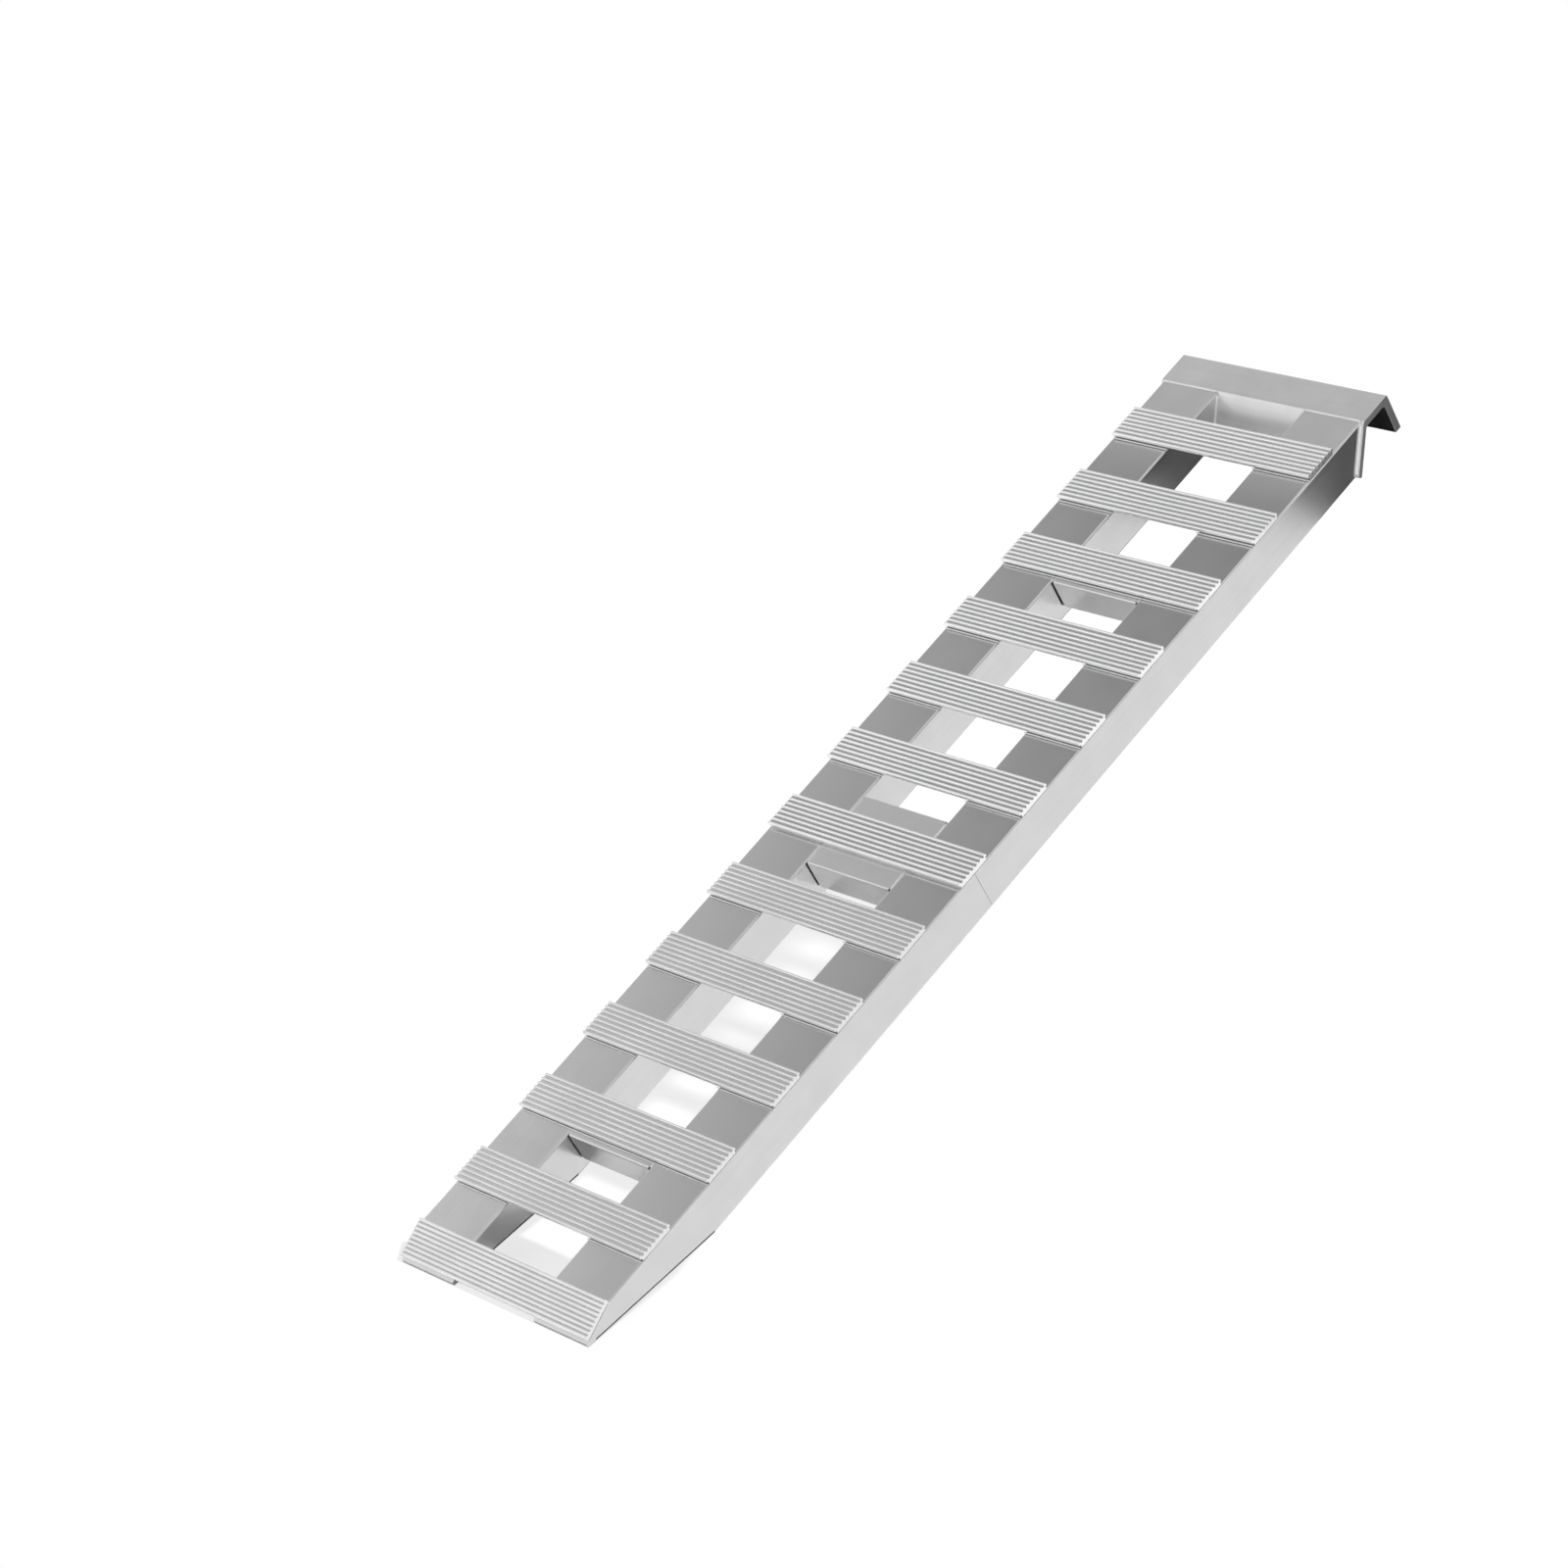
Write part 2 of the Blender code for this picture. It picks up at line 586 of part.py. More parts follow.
clear_scene()
PARTS = new_collection("folding_loading_ramp")
CUTTERS = new_collection("cutters")
UPPER_HALF = new_empty("upper_half", at(0, 0))
LOWER_HALF = new_empty("lower_half", at(0, AXIS_Z))
make_rails(UPPER_HALF, LOWER_HALF)
make_hook(UPPER_HALF)
make_treads(UPPER_HALF, LOWER_HALF)
FOLD_TUBES = make_tubes(UPPER_HALF, LOWER_HALF)
make_hinge(UPPER_HALF, LOWER_HALF, FOLD_TUBES)
make_pads(LOWER_HALF)
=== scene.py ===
"""Looks of a folding aluminium loading ramp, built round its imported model.

Metres, in the part's own frame: +Y runs up the ramp to the hook, X across it and
+Z out of the deck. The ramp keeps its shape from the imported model; this file gives
it rounded edges, weld beads and finishes, and sets up the studio and the camera.
"""

import logging
import random
from dataclasses import dataclass
from enum import Enum
from math import cos, pi, radians, sin
from typing import Any

import bpy
from mathutils import Matrix, Vector


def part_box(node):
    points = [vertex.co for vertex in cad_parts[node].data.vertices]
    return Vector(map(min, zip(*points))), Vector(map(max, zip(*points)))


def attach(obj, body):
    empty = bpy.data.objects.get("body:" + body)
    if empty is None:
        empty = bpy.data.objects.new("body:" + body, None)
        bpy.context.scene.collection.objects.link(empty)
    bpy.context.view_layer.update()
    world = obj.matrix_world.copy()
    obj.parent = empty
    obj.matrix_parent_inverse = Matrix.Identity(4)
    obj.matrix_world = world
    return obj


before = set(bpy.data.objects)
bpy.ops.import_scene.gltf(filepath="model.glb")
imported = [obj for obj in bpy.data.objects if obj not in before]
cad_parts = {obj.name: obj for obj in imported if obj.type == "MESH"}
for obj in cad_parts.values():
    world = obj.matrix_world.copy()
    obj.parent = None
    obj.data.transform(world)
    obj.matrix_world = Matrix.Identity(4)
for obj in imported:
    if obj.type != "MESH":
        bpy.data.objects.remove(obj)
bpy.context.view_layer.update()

MM = 0.001
WHITE = "#FFFFFF"
NOISE_LOW, NOISE_HIGH = 0.3, 0.7  # most of a noise pattern lies between these
LOG = logging.getLogger("folding_loading_ramp")

Material = bpy.types.Material
Node = bpy.types.Node
Object = bpy.types.Object
Socket = bpy.types.NodeSocket
Tree = bpy.types.NodeTree


class Half(Enum):
    """The two bodies that the fold joins."""

    UPPER = "upper_half"
    LOWER = "lower_half"

    @property
    def short(self) -> str:
        """Word for this half in the names of its pieces."""
        return self.name.lower()


class Grain(Enum):
    """The way that drawn or rolled lines run."""

    ALONG = "along the ramp"
    ACROSS = "across the ramp"

    def stretch(self, line_mm: float, streak_mm: float) -> tuple[float, float, float]:
        """Scale metres to pattern units for lines of a given spacing.

        Args:
            line_mm: spacing across the lines, in millimetres.
            streak_mm: length of one streak, in millimetres.

        Returns:
            The scale on X, Y and Z.
        """
        fine = 1 / (line_mm * MM)
        long = 1 / (streak_mm * MM)
        return (fine, long, fine) if self is Grain.ALONG else (long, fine, fine)


def linear(colour: str) -> tuple[float, float, float, float]:
    """Turn an sRGB hex colour to linear.

    Args:
        colour: six hex digits after a hash.

    Returns:
        Linear red, green, blue and an alpha of one.
    """
    shares = [int(colour[i : i + 2], 16) / 255 for i in (1, 3, 5)]
    red, green, blue = (
        share / 12.92 if share <= 0.04045 else ((share + 0.055) / 1.055) ** 2.4
        for share in shares
    )
    return red, green, blue, 1.0


def add_node(
    tree: Tree,
    kind: str,
    settings: dict[str | int, Any] | None = None,
    links: dict[str | int, Socket] | None = None,
) -> Node:
    """Add a node with its settings and links.

    Args:
        tree: the node tree.
        kind: the node's type name.
        settings: values by property name, input name or input number.
        links: outputs of other nodes by input name or number.

    Returns:
        The new node.
    """
    node = tree.nodes.new(kind)
    for name, value in (settings or {}).items():
        if isinstance(name, str) and name in node.bl_rna.properties:
            setattr(node, name, value)
        else:
            node.inputs[name].default_value = value
    for name, output in (links or {}).items():
        tree.links.new(output, node.inputs[name])
    return node


def empty_material(name: str) -> tuple[Material, Tree]:
    """Start a material with no nodes.

    Args:
        name: the material's name.

    Returns:
        The material and its node tree.
    """
    material = bpy.data.materials.new(name)
    material.use_nodes = True
    material.node_tree.nodes.clear()
    return material, material.node_tree


def finish_material(name: str) -> tuple[Material, Tree, Node]:
    """Start a material with only a Principled shader and its output.

    Args:
        name: the material's name.

    Returns:
        The material, its node tree and the shader.
    """
    material, tree = empty_material(name)
    shader = add_node(tree, "ShaderNodeBsdfPrincipled")
    add_node(tree, "ShaderNodeOutputMaterial", links={"Surface": shader.outputs[0]})
    return material, tree, shader


@dataclass(frozen=True, kw_only=True)
class DrawnMetal:
    """Bare or plated metal with faint lines left by its die or its rolls."""

    name: str
    bright: str
    dull: str
    roughness: float
    roughness_swing: float
    grain: Grain
    line_mm: float
    streak_mm: float
    line_depth_mm: float
    cloud_mm: float
    line_share: float = 0.45

    def material(self) -> Material:
        """Build the finish.

        Returns:
            The material.
        """
        material, tree, shader = finish_material(self.name)
        shader.inputs["Metallic"].default_value = 1.0
        place = add_node(tree, "ShaderNodeTexCoord").outputs["Object"]
        lines = self._lines(tree, place)
        tone = self._tone(tree, place, lines)
        colour = self._colour(tree, place, tone)
        tree.links.new(colour, shader.inputs["Base Color"])
        rough = add_node(
            tree,
            "ShaderNodeMapRange",
            {
                "From Min": NOISE_LOW,
                "From Max": NOISE_HIGH,
                "To Min": self.roughness + self.roughness_swing,
                "To Max": self.roughness - self.roughness_swing,
            },
            {"Value": tone},
        )
        tree.links.new(rough.outputs[0], shader.inputs["Roughness"])
        bump = add_node(
            tree,
            "ShaderNodeBump",
            {"Strength": 1.0, "Distance": self.line_depth_mm * MM},
            {"Height": lines},
        )
        tree.links.new(bump.outputs[0], shader.inputs["Normal"])
        return material

    def _lines(self, tree: Tree, place: Socket) -> Socket:
        """Add noise drawn out along the grain.

        Args:
            tree: the material's nodes.
            place: place on the object.

        Returns:
            The noise.
        """
        scaled = add_node(
            tree,
            "ShaderNodeVectorMath",
            {"operation": "MULTIPLY", 1: self.grain.stretch(self.line_mm, self.streak_mm)},
            {0: place},
        )
        noise = add_node(
            tree,
            "ShaderNodeTexNoise",
            {"Scale": 1.0, "Detail": 3.0, "Roughness": 0.6},
            {"Vector": scaled.outputs[0]},
        )
        return noise.outputs[0]

    def _tone(self, tree: Tree, place: Socket, lines: Socket) -> Socket:
        """Add the lines to a slow cloud of handling marks.

        Args:
            tree: the material's nodes.
            place: place on the object.
            lines: the drawn lines.

        Returns:
            The tone, from dull to bright.
        """
        cloud = add_node(
            tree,
            "ShaderNodeTexNoise",
            {"Scale": 1 / (self.cloud_mm * MM), "Detail": 4.0, "Roughness": 0.55},
            {"Vector": place},
        )
        mixed = add_node(
            tree, "ShaderNodeMix", {0: self.line_share}, {2: cloud.outputs[0], 3: lines}
        )
        return mixed.outputs[0]

    def _colour(self, tree: Tree, place: Socket, tone: Socket) -> Socket:
        """Colour the metal between dull and bright.

        Args:
            tree: the material's nodes.
            place: place on the object; not used here.
            tone: the tone, from dull to bright.

        Returns:
            The colour.
        """
        spread = add_node(
            tree,
            "ShaderNodeMapRange",
            {"From Min": NOISE_LOW, "From Max": NOISE_HIGH},
            {"Value": tone},
        )
        mixed = add_node(
            tree,
            "ShaderNodeMix",
            {"data_type": "RGBA", 6: linear(self.dull), 7: linear(self.bright)},
            {0: spread.outputs[0]},
        )
        return mixed.outputs[2]


@dataclass(frozen=True, kw_only=True)
class RidgedMetal(DrawnMetal):
    """Ridged drawn metal: bare, bright crests; a grey film and painted shade in grooves.

    The recess under the bar's front and back gets painted shade, a darker tone where shade
    falls. Flat and steep are cosines: the film lies on what is flatter than the one and not
    on what is steeper than the other.
    """

    groove: str
    grime: str
    crest: float
    ridge_mm: float
    up: tuple[float, float, float]
    recess_mm: tuple[float, float] = (4.95, 9.15)
    film_share: float = 0.25
    flat: float = 0.9
    steep: float = 0.6

    def _colour(self, tree: Tree, place: Socket, tone: Socket) -> Socket:
        """Colour crests as bare metal, with a film and painted shade below them.

        Args:
            tree: the material's nodes.
            place: place on the object.
            tone: the tone, from dull to bright.

        Returns:
            The colour.
        """
        metal = super()._colour(tree, place, tone)
        normal = add_node(tree, "ShaderNodeNewGeometry").outputs["Normal"]
        height, facing, endwise = (
            add_node(
                tree,
                "ShaderNodeVectorMath",
                {"operation": "DOT_PRODUCT", 1: axis},
                {0: vector},
            ).outputs["Value"]
            for vector, axis in (
                (place, self.up),
                (normal, self.up),
                (normal, (1.0, 0.0, 0.0)),
            )
        )
        clean = add_node(
            tree,
            "ShaderNodeMapRange",
            {
                "interpolation_type": "SMOOTHSTEP",
                "From Min": self.crest - self.ridge_mm * MM,
                "From Max": self.crest - self.film_share * self.ridge_mm * MM,
            },
            {"Value": height},
        )
        upright = add_node(
            tree,
            "ShaderNodeMapRange",
            {"From Min": self.flat, "From Max": self.steep},
            {"Value": facing},
        )
        bare = add_node(
            tree,
            "ShaderNodeMath",
            {"operation": "MAXIMUM"},
            {0: clean.outputs[0], 1: upright.outputs[0]},
        )
        # The groove colour is partly a real film and partly painted shade in the hollows
        # between ridges.
        film_and_shade = add_node(
            tree,
            "ShaderNodeMix",
            {"data_type": "RGBA", 6: linear(self.groove)},
            {0: bare.outputs[0], 7: metal},
        )
        # Painted shade: lengthwise faces in the recess band under the crests take the recess
        # tone.
        top, bottom = self.recess_mm
        middle, reach = (top + bottom) / 2 * MM, (bottom - top) / 2 * MM
        below = add_node(
            tree,
            "ShaderNodeMath",
            {"operation": "COMPARE", 1: self.crest - middle, 2: reach},
            {0: height},
        )
        lengthwise = add_node(
            tree, "ShaderNodeMath", {"operation": "COMPARE", 1: 0.0, 2: 0.5}, {0: endwise}
        )
        hidden = add_node(
            tree,
            "ShaderNodeMath",
            {"operation": "MULTIPLY"},
            {0: below.outputs[0], 1: lengthwise.outputs[0]},
        )
        painted_recess = add_node(
            tree,
            "ShaderNodeMix",
            {"data_type": "RGBA", 7: linear(self.grime)},
            {0: hidden.outputs[0], 6: film_and_shade.outputs[2]},
        )
        return painted_recess.outputs[2]


@dataclass(frozen=True)
class MouldedRubber:
    """Moulded black rubber: matt, with the fine grain of its mould and a little dust."""

    name: str = "moulded_black_rubber"
    black: str = "#1C1C1D"
    dust: str = "#34343A"
    roughness: float = 0.82
    grain_mm: float = 1.6
    grain_depth_mm: float = 0.15
    grain_strength: float = 0.6
    dust_mm: float = 30.0

    def material(self) -> Material:
        """Build the finish.

        Returns:
            The material.
        """
        material, tree, shader = finish_material(self.name)
        shader.inputs["Roughness"].default_value = self.roughness
        place = add_node(tree, "ShaderNodeTexCoord").outputs["Object"]
        dust = add_node(
            tree,
            "ShaderNodeTexNoise",
            {"Scale": 1 / (self.dust_mm * MM), "Detail": 5.0},
            {"Vector": place},
        )
        mixed = add_node(
            tree,
            "ShaderNodeMix",
            {"data_type": "RGBA", 6: linear(self.black), 7: linear(self.dust)},
            {0: dust.outputs[0]},
        )
        tree.links.new(mixed.outputs[2], shader.inputs["Base Color"])
        grain = add_node(
            tree, "ShaderNodeTexNoise", {"Scale": 1 / (self.grain_mm * MM)}, {"Vector": place}
        )
        bump = add_node(
            tree,
            "ShaderNodeBump",
            {"Strength": self.grain_strength, "Distance": self.grain_depth_mm * MM},
            {"Height": grain.outputs[0]},
        )
        tree.links.new(bump.outputs[0], shader.inputs["Normal"])
        return material


# Mill-finish aluminium, extruded: a soft grey sheen with faint die lines along the
# rail. The lines are really 0.5 mm apart and are drawn 4 mm apart so that they show.
RAIL_METAL = DrawnMetal(
    name="aluminium_mill_finish_extruded",
    bright="#D8D8D8",
    dull="#D0D0D0",
    roughness=0.24,
    roughness_swing=0.03,
    grain=Grain.ALONG,
    line_mm=4.0,
    streak_mm=400.0,
    line_depth_mm=0.008,
    cloud_mm=60.0,
    line_share=0.35,
)

# The same alloy for tubes and plate that lie across: a little duller and paler, with
# lines along their length. They are drawn 3 mm apart for the same reason.
CROSS_METAL = DrawnMetal(
    name="aluminium_mill_finish_crosswise",
    bright="#E4E4E4",
    dull="#D6D6D6",
    roughness=0.32,
    roughness_swing=0.04,
    grain=Grain.ACROSS,
    line_mm=3.0,
    streak_mm=250.0,
    line_depth_mm=0.008,
    cloud_mm=60.0,
    line_share=0.35,
)

# Aluminium weld, as laid: paler than the plate and mottled, its ripples are in the mesh.
WELD_METAL = DrawnMetal(
    name="aluminium_weld_as_laid",
    bright="#F2F2F2",
    dull="#E4E4E4",
    roughness=0.42,
    roughness_swing=0.05,
    grain=Grain.ALONG,
    line_mm=3.0,
    streak_mm=3.0,
    line_depth_mm=0.03,
    cloud_mm=20.0,
)

# Zinc-plated steel, cold rolled: a cool grey, brighter and dimmer in slow patches from
# the bath. Its rolling lines are really 0.2 mm apart and are drawn 1.2 mm apart.
ZINC_STEEL = DrawnMetal(
    name="zinc_plated_steel_cold_rolled",
    bright="#B8BCC2",
    dull="#A2A6AD",
    roughness=0.33,
    roughness_swing=0.05,
    grain=Grain.ACROSS,
    line_mm=1.2,
    streak_mm=70.0,
    line_depth_mm=0.006,
    cloud_mm=16.0,
)

# Black rubber, moulded: deep matt black that shows its mould's grain. The grain is
# really 0.3 mm and is drawn 1.6 mm wide.
PAD_RUBBER = MouldedRubber()


class TreadTone(Enum):
    """Where a tread lies, with its tones: crests, bright and dull, grooves and recess.

    The tones are lit and shaded copies of one metal, painting the light and shade each place
    shows. Grooves are painted darker on the upper half than on the lower one, and the fold's
    rung and the foot tread get no painted shade line in front.
    """

    UPPER = ("#FAFAFA", "#F4F4F4", "#B6B6B6", "#A4A4A4")
    FOLD = ("#F8F8F8", "#F0F0F0", "#B6B6B6", "#F8F8F8")
    LOWER = ("#ECECEC", "#E0E0E0", "#DADADA", "#A4A4A4")
    FOOT = ("#F0F0F0", "#E4E4E4", "#C2C2C2", "#F0F0F0")


def tread_metal(tone: TreadTone, crest: float, ridge_mm: float, up: Vector) -> RidgedMetal:
    """Bright extruded aluminium for a ridged tread.

    The die leaves it brighter than the rails, with lines across the ramp. They are
    really 0.5 mm apart and are drawn 2 mm apart so that they show.

    Args:
        tone: where the tread lies.
        crest: height of the ridge crests along up.
        ridge_mm: height of a ridge, in millimetres.
        up: direction square to the tread.

    Returns:
        The finish.
    """
    # The four colours are painted light and shade for where the tread lies.
    bright, dull, groove, grime = tone.value
    return RidgedMetal(
        name=f"aluminium_bright_ridged_{tone.name.lower()}",
        bright=bright,
        dull=dull,
        groove=groove,
        grime=grime,
        roughness=0.28,
        roughness_swing=0.04,
        grain=Grain.ACROSS,
        line_mm=2.0,
        streak_mm=120.0,
        line_depth_mm=0.01,
        cloud_mm=60.0,
        crest=crest,
        ridge_mm=ridge_mm,
        up=tuple(up),
    )


@dataclass
class EdgeRounder:
    """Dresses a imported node: joins its loose triangles, rounds its edges, smooths them.

    A crown's rounding starts and is full at shares of a ridge below its crest. Crisp is
    the share of that rounding which other edges get.
    """

    sharp: float = radians(28.0)
    flat: float = radians(0.5)
    merge: float = 0.002 * MM
    edge_segments: int = 2
    crown_segments: int = 4
    crown_start: float = 0.5
    crown_full: float = 0.3
    crisp: float = 0.1

    def __post_init__(self) -> None:
        """Build the two small node groups that every node uses."""
        self.join = self._join_group()
        self.shade = self._shade_group()

    def dress(
        self, node: str, material: Material, width_mm: float, crowns: Tree | None = None
    ) -> Object:
        """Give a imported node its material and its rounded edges.

        Args:
            node: the node's name.
            material: its finish.
            width_mm: size of the rounding, in millimetres; zero for none.
            crowns: group that marks ridge crests for the full rounding.

        Returns:
            The node's object.
        """
        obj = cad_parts[node]
        for slot in obj.material_slots:
            slot.material = material
        obj.modifiers.new("Join", "NODES").node_group = self.join
        flat = obj.modifiers.new("Flat", "DECIMATE")
        flat.decimate_type = "DISSOLVE"
        flat.angle_limit = self.flat
        if crowns:
            obj.modifiers.new("Crowns", "NODES").node_group = crowns
        if width_mm:
            bevel = obj.modifiers.new("Round", "BEVEL")
            bevel.width = width_mm * MM
            bevel.segments = self.crown_segments if crowns else self.edge_segments
            bevel.limit_method = "WEIGHT" if crowns else "ANGLE"
            bevel.angle_limit = self.sharp
        obj.modifiers.new("Shade", "NODES").node_group = self.shade
        obj.modifiers.new("Flats", "WEIGHTED_NORMAL").keep_sharp = True
        return obj

    def crown_group(self, name: str, up: Vector, crest: float, ridge: float) -> Tree:
        """Group that marks a tread's sharp edges for rounding.

        Crests are rounded in full, but the other edges stay crisp.

        Args:
            name: the group's name.
            up: direction square to the tread.
            crest: height of the crests along up.
            ridge: height of a ridge.

        Returns:
            The group.
        """
        group, start, end = self._group(name)
        angle = add_node(group, "GeometryNodeInputMeshEdgeAngle")
        sharp = add_node(
            group,
            "FunctionNodeCompare",
            {"operation": "GREATER_THAN", "B": self.sharp},
            {"A": angle.outputs[0]},
        )
        place = add_node(group, "GeometryNodeInputPosition")
        height = add_node(
            group,
            "ShaderNodeVectorMath",
            {"operation": "DOT_PRODUCT", 1: up},
            {0: place.outputs[0]},
        )
        share = add_node(
            group,
            "ShaderNodeMapRange",
            {
                "From Min": crest - self.crown_start * ridge,
                "From Max": crest - self.crown_full * ridge,
                "To Min": self.crisp,
            },
            {"Value": height.outputs["Value"]},
        )
        weight = add_node(
            group,
            "ShaderNodeMath",
            {"operation": "MULTIPLY"},
            {0: share.outputs[0], 1: sharp.outputs[0]},
        )
        marked = add_node(
            group,
            "GeometryNodeStoreNamedAttribute",
            {"data_type": "FLOAT", "domain": "EDGE", "Name": "bevel_weight_edge"},
            {"Geometry": start.outputs[0], "Value": weight.outputs[0]},
        )
        group.links.new(marked.outputs[0], end.inputs[0])
        return group

    def _group(self, name: str) -> tuple[Tree, Node, Node]:
        """Start a geometry group with one mesh in and one out.

        Args:
            name: the group's name.

        Returns:
            The group, its input and its output.
        """
        group = bpy.data.node_groups.new(name, "GeometryNodeTree")
        for way in ("INPUT", "OUTPUT"):
            group.interface.new_socket(
                "Geometry", in_out=way, socket_type="NodeSocketGeometry"
            )
        return group, add_node(group, "NodeGroupInput"), add_node(group, "NodeGroupOutput")

    def _join_group(self) -> Tree:
        """Group that merges loose triangles and drops their stored normals.

        Returns:
            The group.
        """
        group, start, end = self._group("join_triangles")
        plain = add_node(
            group,
            "GeometryNodeRemoveAttribute",
            {"Name": "custom_normal"},
            {"Geometry": start.outputs[0]},
        )
        merged = add_node(
            group,
            "GeometryNodeMergeByDistance",
            {"Distance": self.merge},
            {"Geometry": plain.outputs[0]},
        )
        group.links.new(merged.outputs[0], end.inputs[0])
        return group

    def _shade_group(self) -> Tree:
        """Group that shades smooth across every edge that isn't sharp.

        Returns:
            The group.
        """
        group, start, end = self._group("shade_by_angle")
        angle = add_node(group, "GeometryNodeInputMeshEdgeAngle")
        soft = add_node(
            group,
            "FunctionNodeCompare",
            {"operation": "LESS_THAN", "B": self.sharp},
            {"A": angle.outputs[0]},
        )
        edges = add_node(
            group,
            "GeometryNodeSetShadeSmooth",
            {"domain": "EDGE"},
            {"Geometry": start.outputs[0], "Shade Smooth": soft.outputs[0]},
        )
        faces = add_node(
            group, "GeometryNodeSetShadeSmooth", links={"Geometry": edges.outputs[0]}
        )
        group.links.new(faces.outputs[0], end.inputs[0])
        return group


@dataclass(frozen=True)
class WeldPoint:
    """A point on the line of a weld, with the bead's radius there."""

    place: Vector
    radius: float


@dataclass(frozen=True)
class WeldRing:
    """One ring of a bead's mesh: its centre, its direction and its radius."""

    centre: Vector
    way: Vector
    radius: float


@dataclass
class WeldBead:
    """A bead of overlapping ripples laid along a line."""

    points: list[WeldPoint]
    ripple: float = 2.4 * MM
    ripple_depth: float = 0.16
    end_share: float = 0.4
    end_ripples: float = 2.0
    wander: float = 0.03
    steps: int = 4
    sides: int = 10

    @classmethod
    def along(cls, line: list[Vector], radius: float) -> "WeldBead":
        """Lay a bead of one radius.

        Args:
            line: points on its line.
            radius: the bead's radius.

        Returns:
            The bead.
        """
        return cls([WeldPoint(place, radius) for place in line])

    def rings(self, dice: random.Random) -> list[WeldRing]:
        """Find the rings along the bead.

        Args:
            dice: source of the hand's small wander.

        Returns:
            The rings, in order.
        """
        spans = list(zip(self.points, self.points[1:]))
        total = sum((end.place - start.place).length for start, end in spans)
        step = self.ripple / self.steps
        travelled = 0.0
        found = []
        for start, end in spans:
            run = end.place - start.place
            way = run.normalized()
            count = max(1, round(run.length / step))
            for index in range(count):
                share = index / count
                radius = start.radius + (end.radius - start.radius) * share
                swell = self._swell(travelled + share * run.length, total)
                found.append((start.place + run * share, way, swell * radius))
            travelled += run.length
        last = self.points[-1]
        found.append((last.place, way, self.end_share * last.radius))
        low, high = 1 - self.wander, 1 + self.wander
        return [WeldRing(p, d, r * dice.uniform(low, high)) for p, d, r in found]

    def _swell(self, along: float, total: float) -> float:
        """Find the share of the radius at a distance along the bead.

        Args:
            along: the distance.
            total: length of the bead.

        Returns:
            The share, which falls at each ripple and at the rounded ends.
        """
        phase = (along / self.ripple) % 1.0
        end = min(along, total - along) / (self.end_ripples * self.ripple)
        full = min(1.0, max(0.0, end)) ** 0.5
        ends = self.end_share + (1 - self.end_share) * full
        return (1 - self.ripple_depth * phase**2) * ends

    def add_to(
        self, points: list[Vector], faces: list[tuple[int, ...]], dice: random.Random
    ) -> None:
        """Add the bead to a growing mesh.

        Args:
            points: the mesh's points.
            faces: the mesh's faces.
            dice: source of the hand's small wander.
        """
        rings = self.rings(dice)
        sides = self.sides
        first = len(points)
        across = rings[0].way.orthogonal().normalized()
        for ring in rings:
            across = (across - ring.way * across.dot(ring.way)).normalized()
            other = ring.way.cross(across)
            for side in range(sides):
                turn = 2 * pi * side / sides
                spoke = across * cos(turn) + other * sin(turn)
                points.append(ring.centre + spoke * ring.radius)
        last = first + (len(rings) - 1) * sides
        for low in range(first, last, sides):
            high = low + sides
            for side in range(sides):
                after = (side + 1) % sides
                faces.append((low + side, low + after, high + after, high + side))
        faces.append(tuple(range(first + sides - 1, first - 1, -1)))
        faces.append(tuple(range(last, last + sides)))


def weld_piece(name: str, beads: list[WeldBead], half: Half, material: Material) -> Object:
    """Make one piece of several weld beads.

    Args:
        name: the piece's name, which also seeds its wander.
        beads: the beads.
        half: the half that carries them.
        material: their finish.

    Returns:
        The piece.
    """
    points: list[Vector] = []
    faces: list[tuple[int, ...]] = []
    dice = random.Random(name)
    for bead in beads:
        bead.add_to(points, faces, dice)
    mesh = bpy.data.meshes.new(name)
    mesh.from_pydata(points, [], faces)
    mesh.shade_smooth()
    mesh.materials.append(material)
    piece = bpy.data.objects.new(name, mesh)
    bpy.context.scene.collection.objects.link(piece)
    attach(piece, half.value)
    return piece


@dataclass
class Rails:
    """The four box rails."""

    rounding_mm: float = 0.2

    def build(self, rounder: EdgeRounder) -> list[Object]:
        """Dress the rails.

        Args:
            rounder: dresses the nodes.

        Returns:
            The rails.
        """
        metal = RAIL_METAL.material()
        names = [f"{half.short}_rail_{side}" for half in Half for side in ("left", "right")]
        return [rounder.dress(name, metal, self.rounding_mm) for name in names]


